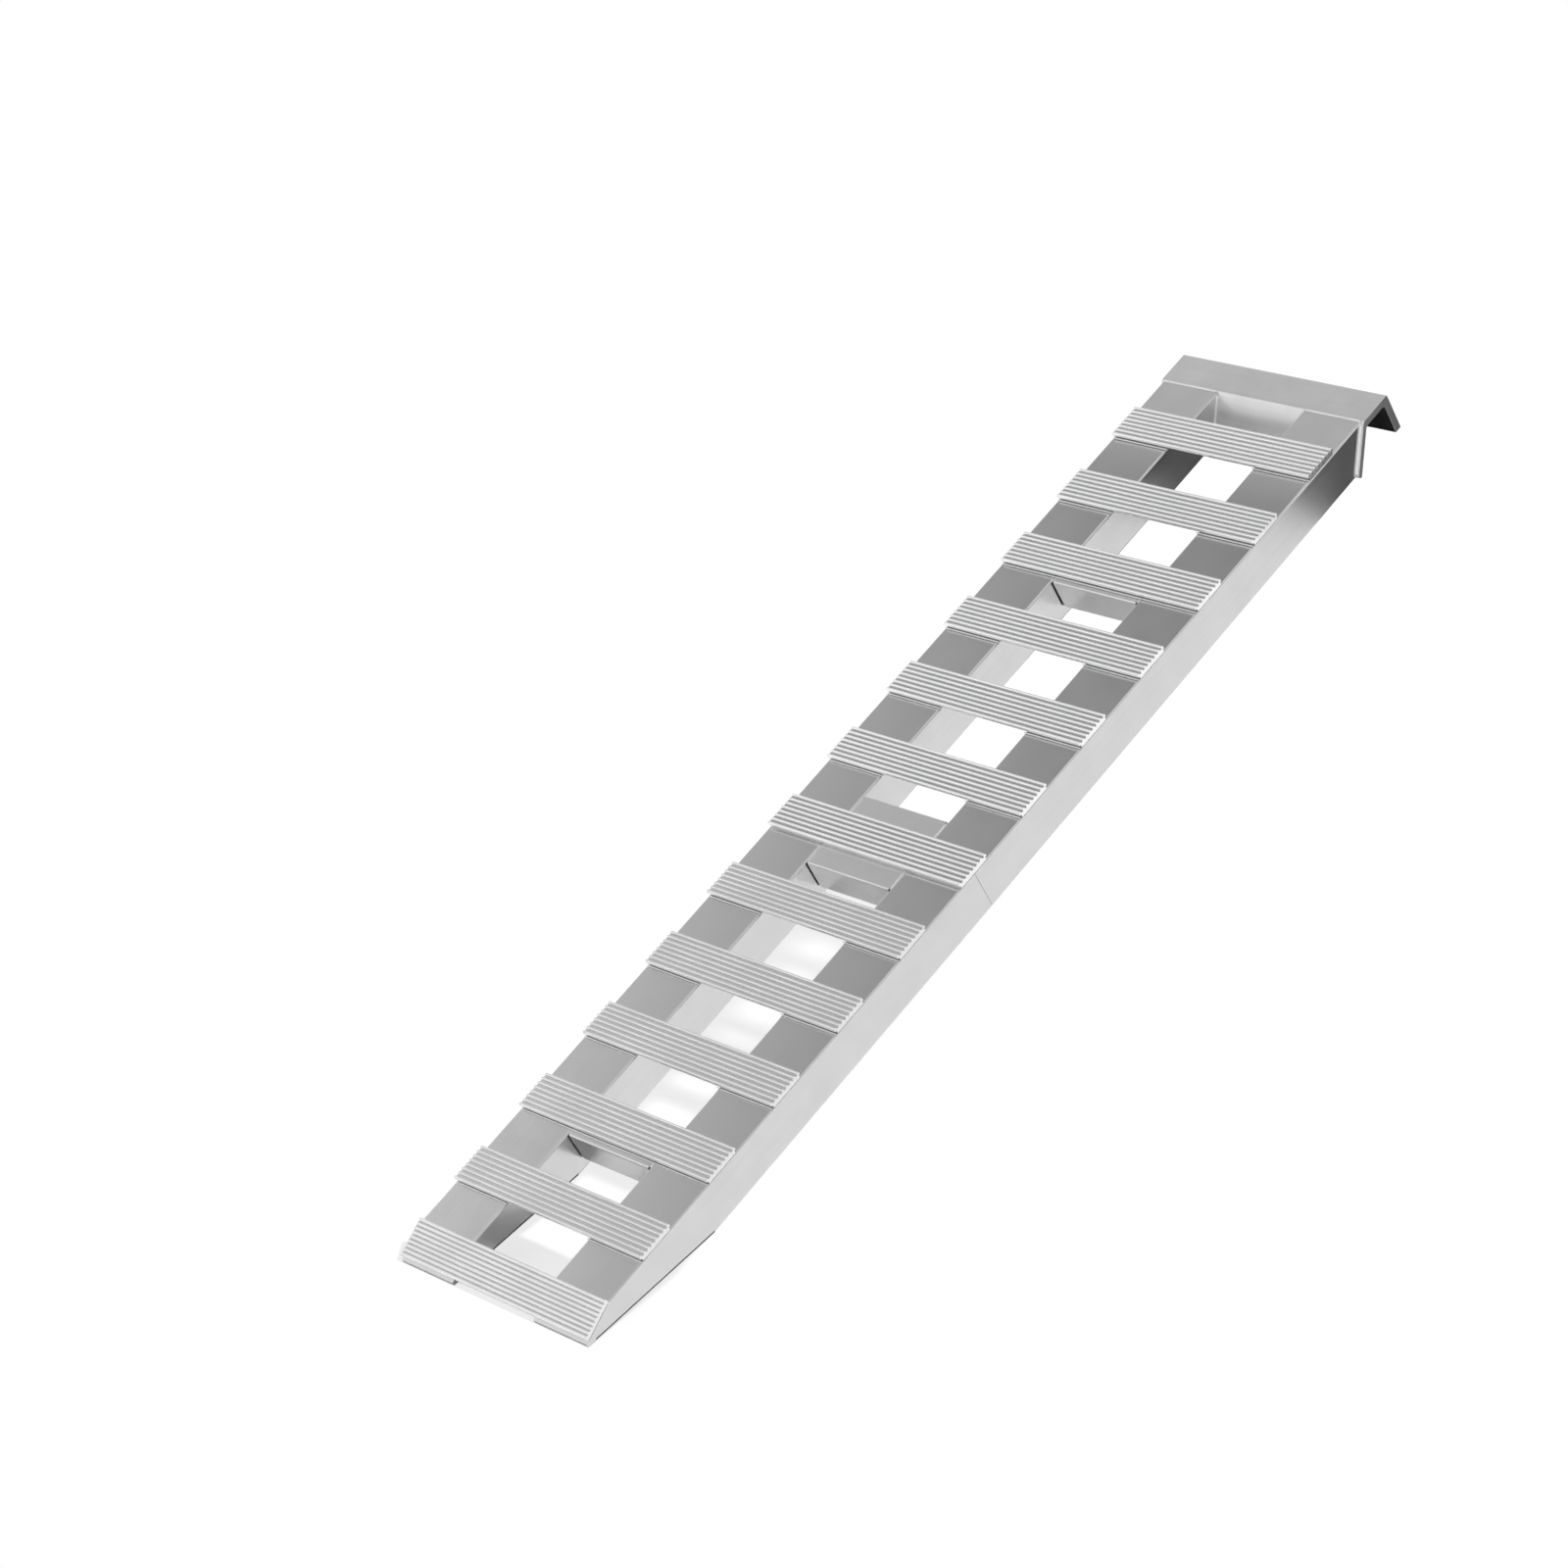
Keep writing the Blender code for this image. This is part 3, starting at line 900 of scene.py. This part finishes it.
@dataclass
class HookPlate:
    """The hook plate and the welds that join it to the rails.

    Each weld lies a little off the corner between rail and plate. It starts and stops
    at the insets from the rail's sides, and at the starts and the margin down the plate.
    """

    lean: float = radians(38)
    rounding_mm: float = 0.8
    top_radius: float = 2.5 * MM
    side_radius: float = 2.7 * MM
    inner_radius: float = 2.4 * MM
    top_offset: tuple[float, float, float] = (0.0, 0.6 * MM, -0.9 * MM)
    side_offset: float = 0.5 * MM
    inner_offset: float = 0.4 * MM
    back_offset: float = 0.6 * MM
    inner_inset: float = 2 * MM
    outer_inset: float = 4 * MM
    side_start: float = 6 * MM
    inner_start: float = 5 * MM
    low_margin: float = 4 * MM

    def build(self, rounder: EdgeRounder, weld: Material) -> list[Object]:
        """Dress the plate and lay its welds.

        Args:
            rounder: dresses the nodes.
            weld: finish of the welds.

        Returns:
            The plate and its welds.
        """
        pieces = [rounder.dress("hook_plate", CROSS_METAL.material(), self.rounding_mm)]
        for side, sign in (("left", -1), ("right", 1)):
            beads = self.beads(sign)
            pieces.append(weld_piece(f"hook_weld_{side}", beads, Half.UPPER, weld))
        return pieces

    def beads(self, sign: int) -> list[WeldBead]:
        """Lay the beads round the end of one rail.

        Args:
            sign: -1 for the left rail, 1 for the right.

        Returns:
            A bead over the top and down the outer side, and one down the inner side.
        """
        low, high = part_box("upper_rail_right")
        depth = (high.z - low.z) / cos(self.lean) - self.low_margin
        down = Vector((0, -sin(self.lean), -cos(self.lean)))
        back = Vector((0, -cos(self.lean), sin(self.lean))) * self.back_offset
        right = Vector((sign, 0, 0))
        corner = Vector((0, high.y, high.z))
        top = corner + Vector(self.top_offset)
        outer = corner + back + right * (high.x + self.side_offset)
        inner = corner + back + right * (low.x - self.inner_offset)
        over = [
            WeldPoint(top + right * (low.x + self.inner_inset), self.top_radius),
            WeldPoint(top + right * (high.x - self.outer_inset), self.top_radius),
            WeldPoint(outer + down * self.side_start, self.side_radius),
            WeldPoint(outer + down * depth, self.side_radius),
        ]
        within = [inner + down * self.inner_start, inner + down * depth]
        return [WeldBead(over), WeldBead.along(within, self.inner_radius)]


@dataclass
class Treads:
    """The rungs, the foot tread and the welds under the rungs."""

    rungs: int = 12
    fold_rung: int = 7
    ridge_mm: float = 3.0
    foot_ridge_mm: float = 2.5
    foot_slope: float = radians(19.03)
    crown_mm: float = 1.5
    foot_crown_mm: float = 1.2
    weld_radius: float = 1.5 * MM
    weld_margin: float = 4 * MM
    front_radius: float = 1.1 * MM
    front_wrap: float = 1.5 * MM
    front_ahead: float = 0.2 * MM
    front_above: float = 0.1 * MM

    def build(self, rounder: EdgeRounder, weld: Material) -> list[Object]:
        """Dress the treads and lay the welds under them.

        Args:
            rounder: dresses the nodes.
            weld: finish of the welds.

        Returns:
            The rungs, the foot tread and the welds.
        """
        up = Vector((0, 0, 1))
        names = [f"rung_{number:02d}" for number in range(1, self.rungs + 1)]
        above, below = names[: self.fold_rung], names[self.fold_rung :]
        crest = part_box(names[0])[1].z
        crowns = rounder.crown_group("rung_crowns", up, crest, self.ridge_mm * MM)
        pieces = []
        for tone, group in (
            (TreadTone.UPPER, above[:-1]),
            (TreadTone.FOLD, above[-1:]),
            (TreadTone.LOWER, below),
        ):
            metal = tread_metal(tone, crest, self.ridge_mm, up).material()
            pieces += [rounder.dress(name, metal, self.crown_mm, crowns) for name in group]
        slope = Matrix.Rotation(self.foot_slope, 3, "X") @ up
        crest = max(v.co.dot(slope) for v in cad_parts["foot_tread"].data.vertices)
        metal = tread_metal(TreadTone.FOOT, crest, self.foot_ridge_mm, slope).material()
        crowns = rounder.crown_group("foot_crowns", slope, crest, self.foot_ridge_mm * MM)
        pieces.append(rounder.dress("foot_tread", metal, self.foot_crown_mm, crowns))
        for half, group in ((Half.UPPER, above), (Half.LOWER, below)):
            beads = [bead for name in group for bead in self.beads(name, half)]
            pieces.append(weld_piece(f"{half.short}_rung_welds", beads, half, weld))
        return pieces

    def beads(self, name: str, half: Half) -> list[WeldBead]:
        """Lay the beads under a rung at the rails' inner edges and along its front edge.

        The rung over the fold is welded only to the half that carries it. A bead along
        the front goes right across where a tube lies under the edge.

        Args:
            name: the rung's node.
            half: the half that carries it.

        Returns:
            The rung's beads.
        """
        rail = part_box(f"{half.short}_rail_right")[0]
        low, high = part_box(name)
        under = (max(low.y, rail.y) + self.weld_margin, high.y - self.weld_margin)
        beads = []
        for x in (-rail.x, rail.x):
            line = [Vector((x, y, low.z - self.weld_radius)) for y in under]
            beads.append(WeldBead.along(line, self.weld_radius))
        if low.y < rail.y:
            return beads
        tube_low, tube_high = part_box(f"{half.short}_cross_tube")
        inner, outer = rail.x - self.front_wrap, high.x
        runs = [(-outer, -inner), (inner, outer)]
        if tube_low.y < low.y < tube_high.y:
            runs = [(-outer, outer)]
        front, height = low.y - self.front_ahead, low.z + self.front_above
        for run in runs:
            line = [Vector((x, front, height)) for x in run]
            beads.append(WeldBead.along(line, self.front_radius))
        return beads


@dataclass
class CrossTubes:
    """The cross tubes and fold tubes, and their end welds."""

    rounding_mm: float = 0.3
    weld_radius: float = 2.4 * MM
    weld_sink: float = 2.28 * MM
    weld_margin: float = 3 * MM

    def build(self, rounder: EdgeRounder, weld: Material) -> list[Object]:
        """Dress the tubes and lay their welds.

        Args:
            rounder: dresses the nodes.
            weld: finish of the welds.

        Returns:
            The tubes and their welds.
        """
        metal = CROSS_METAL.material()
        pieces = []
        for half in Half:
            names = [f"{half.short}_cross_tube", f"{half.short}_fold_tube"]
            pieces += [rounder.dress(name, metal, self.rounding_mm) for name in names]
            beads = [bead for name in names for bead in self.beads(name)]
            pieces.append(weld_piece(f"{half.short}_tube_welds", beads, half, weld))
        return pieces

    def beads(self, name: str) -> list[WeldBead]:
        """Lay the beads that bridge the gaps at both ends of a tube.

        They run along its top and bottom edge, and up its side towards the hook unless
        the fold is there. The side towards the foot stays open.

        Args:
            name: the tube's node.

        Returns:
            Beads for both ends.
        """
        low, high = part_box(name)
        reach = (high.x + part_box("upper_rail_right")[0].x) / 2
        near, far = low.y + self.weld_margin, high.y - self.weld_margin
        under, over = low.z + self.weld_margin, high.z - self.weld_sink
        beads = []
        for x in (-reach, reach):
            lines = [[(x, near, z), (x, far, z)] for z in (low.z, over)]
            if name != "lower_fold_tube":
                lines.append([(x, high.y, under), (x, high.y, over - self.weld_margin)])
            for line in lines:
                beads.append(WeldBead.along([Vector(p) for p in line], self.weld_radius))
        return beads


@dataclass
class FoldHinge:
    """The butt hinge at the fold."""

    screws: int = 4
    rounding_mm: float = 0.3

    def build(self, rounder: EdgeRounder) -> list[Object]:
        """Dress the hinge.

        Args:
            rounder: dresses the nodes.

        Returns:
            The pin, the leaves and the screws.
        """
        steel = ZINC_STEEL.material()
        pieces = [rounder.dress("hinge_pin", steel, self.rounding_mm)]
        for half in Half:
            names = [f"hinge_leaf_{half.short}"]
            names += [f"hinge_screw_{half.short}_{n}" for n in range(1, self.screws + 1)]
            pieces += [rounder.dress(name, steel, 0) for name in names]
        return pieces


@dataclass
class FootPads:
    """The rubber pads under the rail tips."""

    rounding_mm: float = 0.7

    def build(self, rounder: EdgeRounder) -> list[Object]:
        """Dress the pads.

        Args:
            rounder: dresses the nodes.

        Returns:
            The pads.
        """
        rubber = PAD_RUBBER.material()
        names = [f"foot_pad_{side}" for side in ("left", "right")]
        return [rounder.dress(name, rubber, self.rounding_mm) for name in names]


@dataclass(frozen=True)
class Card:
    """A card of the studio, parallel to the deck."""

    name: str
    height: float
    outline: tuple[tuple[float, float], ...]

    def corners(self) -> list[Vector]:
        """Corners of the card, in order."""
        return [Vector((x, y, self.height)) for x, y in self.outline]


# The grey flag shades the sides that face right at the hook end, the black one the
# hook's hollow. The panel lights the hook end's level faces.
GREY_FLAG = Card(
    "flag_grey",
    -0.26,
    ((-0.7, 0.45), (0.0, 0.45), (0.05, 0.828), (0.9, 1.018), (0.9, 1.7), (-0.7, 1.7)),
)
BLACK_FLAG = Card(
    "flag_black", -0.02, ((0.03, 0.72), (0.205, 0.72), (0.205, 0.95), (0.03, 0.95))
)
PANEL = Card("panel", 0.42, ((-1.0, 0.99), (0.2, 0.99), (0.2, 1.6), (-1.0, 1.6)))


@dataclass
class Studio:
    """White floor, a lamp, and the flags and panel that the hook end's metal mirrors.

    Heights in the world are sines above the floor's horizon.
    """

    ground_tilt: float = radians(33.352)
    floor_width: float = 10.0
    floor_ahead: float = 0.5
    floor_behind: float = 7.0
    floor_gap: float = 0.5 * MM
    floor_grey: str = "#959595"
    floor_glow: float = 0.75
    ambient: float = 0.30
    wall: float = 1.0
    wall_top: float = 0.682
    ceiling: float = 0.235
    ceiling_edge: float = 0.714
    overhead: float = 1.0
    overhead_edge: float = 0.82
    overhead_start: float = 0.92
    flag_grey: str = "#525252"
    flag_black: str = "#080808"
    panel_glow: float = 0.61
    lamp_from: tuple[float, float, float] = (0.8, 0.25, 0.75)
    lamp_power: float = 3.2
    lamp_degrees: float = 4.0

    @property
    def up(self) -> Vector:
        """Upward direction of the ground that the ramp's foot stands on."""
        return Vector((0, sin(self.ground_tilt), cos(self.ground_tilt)))

    def build(self) -> None:
        """Make the floor, the cards, the lamp and the world."""
        self._floor()
        self._flags()
        self._panel()
        self._lamp()
        self._world()
        LOG.info("studio: floor, flags, panel, lamp and world")

    def _stage(self, name: str, corners: list[Vector], material: Material) -> Object:
        """Add a flat surface to the stage.

        Args:
            name: the object's name.
            corners: its corners, in order.
            material: its finish.

        Returns:
            The object.
        """
        mesh = bpy.data.meshes.new(name)
        mesh.from_pydata(corners, [], [tuple(range(len(corners)))])
        mesh.materials.append(material)
        surface = bpy.data.objects.new(name, mesh)
        bpy.context.scene.collection.objects.link(surface)
        return surface

    def _mirrored(self, card: Card, finish: str, kind: str, settings: dict[str, Any]) -> None:
        """Add a card that only reflections show.

        Args:
            card: the card.
            finish: its material's name.
            kind: the shader's type name.
            settings: the shader's values by input name.
        """
        material, tree = empty_material(finish)
        shader = add_node(tree, kind, settings)
        add_node(tree, "ShaderNodeOutputMaterial", links={"Surface": shader.outputs[0]})
        surface = self._stage(card.name, card.corners(), material)
        surface.visible_camera = False
        surface.visible_diffuse = False
        surface.visible_shadow = False
        surface.visible_transmission = False

    def _floor(self) -> None:
        """Lay a pale ground just under the ramp's lowest point, clear from below."""
        material, tree = empty_material("studio_floor_matt_white")
        matt = add_node(tree, "ShaderNodeBsdfDiffuse", {"Color": linear(self.floor_grey)})
        glow = add_node(tree, "ShaderNodeEmission", {"Strength": self.floor_glow})
        pale = add_node(
            tree, "ShaderNodeAddShader", links={0: matt.outputs[0], 1: glow.outputs[0]}
        )
        white = add_node(tree, "ShaderNodeBsdfDiffuse", {"Color": linear(WHITE)})
        seen = add_node(tree, "ShaderNodeLightPath").outputs["Is Camera Ray"]
        front = add_node(
            tree,
            "ShaderNodeMixShader",
            links={0: seen, 1: white.outputs[0], 2: pale.outputs[0]},
        )
        clear = add_node(tree, "ShaderNodeBsdfTransparent")
        below = add_node(tree, "ShaderNodeNewGeometry").outputs["Backfacing"]
        both = add_node(
            tree,
            "ShaderNodeMixShader",
            links={0: below, 1: front.outputs[0], 2: clear.outputs[0]},
        )
        add_node(tree, "ShaderNodeOutputMaterial", links={"Surface": both.outputs[0]})
        lowest = min(
            (v.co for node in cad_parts.values() for v in node.data.vertices),
            key=lambda point: point.dot(self.up),
        )
        middle = Vector((0, lowest.y, lowest.z)) - self.up * self.floor_gap
        along = Vector((0, self.up.z, -self.up.y))
        side = Vector((self.floor_width / 2, 0, 0))
        near, far = middle - along * self.floor_ahead, middle + along * self.floor_behind
        self._stage("floor", [near - side, near + side, far + side, far - side], material)

    def _flags(self) -> None:
        """Hang the dark cards below the hook end."""
        for card, tone in ((GREY_FLAG, self.flag_grey), (BLACK_FLAG, self.flag_black)):
            cloth = {"Color": linear(tone)}
            self._mirrored(card, f"{card.name}_cloth", "ShaderNodeBsdfDiffuse", cloth)

    def _panel(self) -> None:
        """Hang the light panel above the hook end."""
        glow = {"Strength": self.panel_glow}
        self._mirrored(PANEL, "panel_diffuser_white", "ShaderNodeEmission", glow)

    def _lamp(self) -> None:
        """Add a far lamp on the right, which lays the shadow on the floor to the left."""
        data = bpy.data.lights.new("side_lamp", "SUN")
        data.energy = self.lamp_power
        data.angle = radians(self.lamp_degrees)
        lamp = bpy.data.objects.new("side_lamp", data)
        lamp.rotation_euler = Vector(self.lamp_from).to_track_quat("Z", "Y").to_euler()
        lamp.visible_glossy = False
        bpy.context.scene.collection.objects.link(lamp)

    def _world(self) -> None:
        """Make the room: white to the camera, and an even ambient for matt surfaces.

        Metal sees white walls, a grey ceiling and a white patch overhead.
        """
        world = bpy.data.worlds.new("studio")
        bpy.context.scene.world = world
        world.use_nodes = True
        tree = world.node_tree
        tree.nodes.clear()
        way = add_node(tree, "ShaderNodeTexCoord").outputs["Generated"]
        height = add_node(
            tree, "ShaderNodeVectorMath", {"operation": "DOT_PRODUCT", 1: self.up}, {0: way}
        )
        walls, overhead = (
            add_node(
                tree,
                "ShaderNodeMapRange",
                {
                    "interpolation_type": "SMOOTHSTEP",
                    "From Min": low,
                    "From Max": high,
                    "To Min": below,
                    "To Max": above,
                },
                {"Value": height.outputs["Value"]},
            )
            for low, high, below, above in (
                (self.wall_top, self.ceiling_edge, self.wall, self.ceiling),
                (self.overhead_edge, self.overhead_start, 0.0, self.overhead),
            )
        )
        room = add_node(
            tree,
            "ShaderNodeMath",
            {"operation": "MAXIMUM"},
            {0: walls.outputs[0], 1: overhead.outputs[0]},
        )
        path = add_node(tree, "ShaderNodeLightPath")
        mirrored = add_node(
            tree,
            "ShaderNodeMath",
            {"operation": "MAXIMUM"},
            {0: path.outputs["Is Glossy Ray"], 1: path.outputs["Is Transmission Ray"]},
        )
        bounced = add_node(
            tree,
            "ShaderNodeMix",
            {2: self.ambient},
            {0: mirrored.outputs[0], 3: room.outputs[0]},
        )
        strength = add_node(
            tree,
            "ShaderNodeMix",
            {3: 1.0},
            {0: path.outputs["Is Camera Ray"], 2: bounced.outputs[0]},
        )
        light = add_node(
            tree,
            "ShaderNodeBackground",
            {"Color": linear(WHITE)},
            {"Strength": strength.outputs[0]},
        )
        add_node(tree, "ShaderNodeOutputWorld", links={"Surface": light.outputs[0]})


@dataclass
class Viewpoint:
    """The photograph's camera, upright on the tilted ground."""

    place: tuple[float, float, float] = (4.33254, -2.50862, 3.97410)
    aim: tuple[float, float, float] = (-0.22585, -0.02287, 0.069)
    lens_mm: float = 106.438
    sensor_mm: float = 36.0
    sight: float = 100.0

    def build(self, up: Vector) -> None:
        """Make the camera.

        Args:
            up: upward direction of the ground.
        """
        data = bpy.data.cameras.new("camera")
        data.lens = self.lens_mm
        data.sensor_width = self.sensor_mm
        data.clip_end = self.sight
        camera = bpy.data.objects.new("camera", data)
        bpy.context.scene.collection.objects.link(camera)
        ahead = (Vector(self.aim) - Vector(self.place)).normalized()
        right = ahead.cross(up).normalized()
        turn = Matrix((right, right.cross(ahead), -ahead)).transposed()
        camera.matrix_world = Matrix.Translation(self.place) @ turn.to_4x4()
        bpy.context.scene.camera = camera
        LOG.info("camera: %.1f mm lens", self.lens_mm)


def main() -> None:
    """Build the ramp's looks and the studio, and report each piece."""
    logging.basicConfig(level=logging.INFO, format="%(message)s")
    bpy.context.scene.view_settings.view_transform = "Standard"
    studio = Studio()
    Viewpoint().build(studio.up)
    rounder = EdgeRounder()
    weld = WELD_METAL.material()
    pieces = [
        *Rails().build(rounder),
        *HookPlate().build(rounder, weld),
        *Treads().build(rounder, weld),
        *CrossTubes().build(rounder, weld),
        *FoldHinge().build(rounder),
        *FootPads().build(rounder),
    ]
    for piece in pieces:
        LOG.info("%s: %s", piece.name, piece.active_material.name)
    studio.build()


if __name__ == "__main__":
    main()
